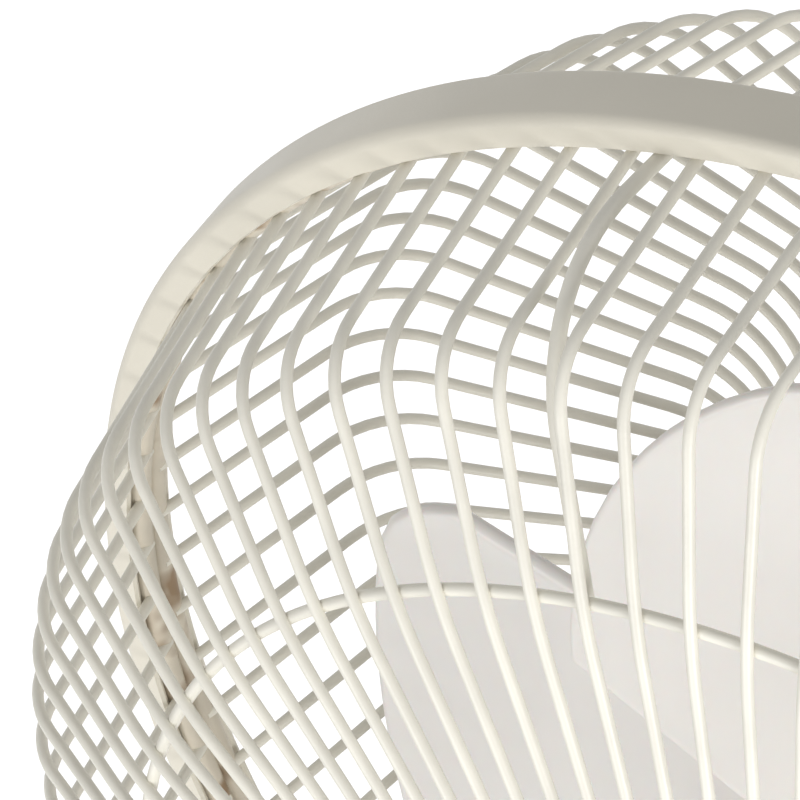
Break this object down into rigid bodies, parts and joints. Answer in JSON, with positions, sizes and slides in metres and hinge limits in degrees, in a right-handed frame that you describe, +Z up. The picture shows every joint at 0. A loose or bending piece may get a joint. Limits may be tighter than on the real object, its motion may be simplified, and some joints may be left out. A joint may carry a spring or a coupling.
{
  "type": "wall fan",
  "caption": "Wall fan with a round two-part wire guard, a broad-bladed propeller and a head that swings and tilts on a short wall arm.",
  "frame": {"origin": "centre of the wall plate's four screw holes, on its back face", "axes": "+Z up, -Y out of the wall the way the fan blows, +X to the right seen from the room"},
  "size_m": [0.43, 0.3709, 0.4668],
  "materials": {
    "ivory_plastic": "satin",
    "white_plastic": "gloss",
    "grey_plastic": "satin",
    "dark_plastic": "matte",
    "rubber": "matte",
    "coated_wire": "satin",
    "zinc_steel": "satin",
    "turned_steel": "polished",
    "core_steel": "satin",
    "cast_alloy": "matte",
    "copper": "satin",
    "bronze": "satin"
  },
  "bodies": {
    "base": {"wall_plate": "zinc_steel", "base_housing": "ivory_plastic", "control_plate": "grey_plastic", "speed_switch": "dark_plastic", "run_capacitor": "dark_plastic", "terminal_block": "dark_plastic", "cord_grommet": "rubber", "housing_screws": "zinc_steel", "arm": "ivory_plastic", "arm_screws": "zinc_steel", "tilt_bolt": "zinc_steel"},
    "speed_control": {"speed_knob": "ivory_plastic", "switch_shaft": "zinc_steel"},
    "tilt_clamp": {"tilt_knob": "grey_plastic"},
    "tilt_neck": {"tilt_yoke": "cast_alloy", "swing_spindle": "turned_steel", "thrust_washer": "bronze"},
    "head": {"gearbox": "cast_alloy", "gearbox_lid": "cast_alloy", "spindle_screw": "zinc_steel", "rear_bearing": "bronze", "stator_core": "core_steel", "stator_coils": "copper", "motor_front_shield": "cast_alloy", "front_bearing": "bronze", "motor_bolts": "zinc_steel", "motor_rear_cover": "ivory_plastic", "motor_front_cover": "ivory_plastic", "cover_screws": "zinc_steel", "rear_guard": "coated_wire", "guard_nut": "ivory_plastic", "front_guard": "coated_wire", "clamp_ring": "ivory_plastic", "clamp_screw": "zinc_steel", "clamp_nut": "zinc_steel", "centre_cap": "ivory_plastic"},
    "rotor": {"motor_shaft": "turned_steel", "rotor_core": "core_steel", "drive_pin": "zinc_steel", "propeller": "white_plastic", "spinner_nut": "ivory_plastic"},
    "reduction_wheel": {"worm_wheel": "white_plastic"},
    "swing_clutch": {"oscillation_knob": "ivory_plastic", "knob_stem": "zinc_steel"}
  },
  "joints": [
    {"name": "speed_select", "type": "hinge", "parent": "base", "child": "speed_control", "pos_m": [0, -0.063, -0.058], "axis": [0, 1, 0], "range_deg": [0, 135]},
    {"name": "tilt_clamp_turn", "type": "hinge", "parent": "base", "child": "tilt_clamp", "pos_m": [0.025, -0.1, 0.058], "axis": [1, 0, 0], "range_deg": [0, 180]},
    {"name": "head_tilt", "type": "hinge", "parent": "base", "child": "tilt_neck", "pos_m": [0, -0.1, 0.058], "axis": [1, 0, 0], "range_deg": [-10, 30]},
    {"name": "head_swing", "type": "hinge", "parent": "tilt_neck", "child": "head", "pos_m": [0, -0.1, 0.096], "axis": [0, 0, 1], "range_deg": [-40, 40]},
    {"name": "rotor_spin", "type": "hinge", "parent": "head", "child": "rotor", "pos_m": [0, -0.26, 0.15], "axis": [0, 1, 0], "continuous": true},
    {"name": "wheel_spin", "type": "hinge", "parent": "head", "child": "reduction_wheel", "pos_m": [0.0195, -0.089, 0.15], "axis": [0, 0, 1], "continuous": true},
    {"name": "clutch_lift", "type": "slide", "parent": "head", "child": "swing_clutch", "axis": [0, 0, 1], "range_m": [0, 0.006]}
  ],
  "couplings": [
    {"joint": "wheel_spin", "follows": "rotor_spin", "ratio": 0.025}
  ]
}
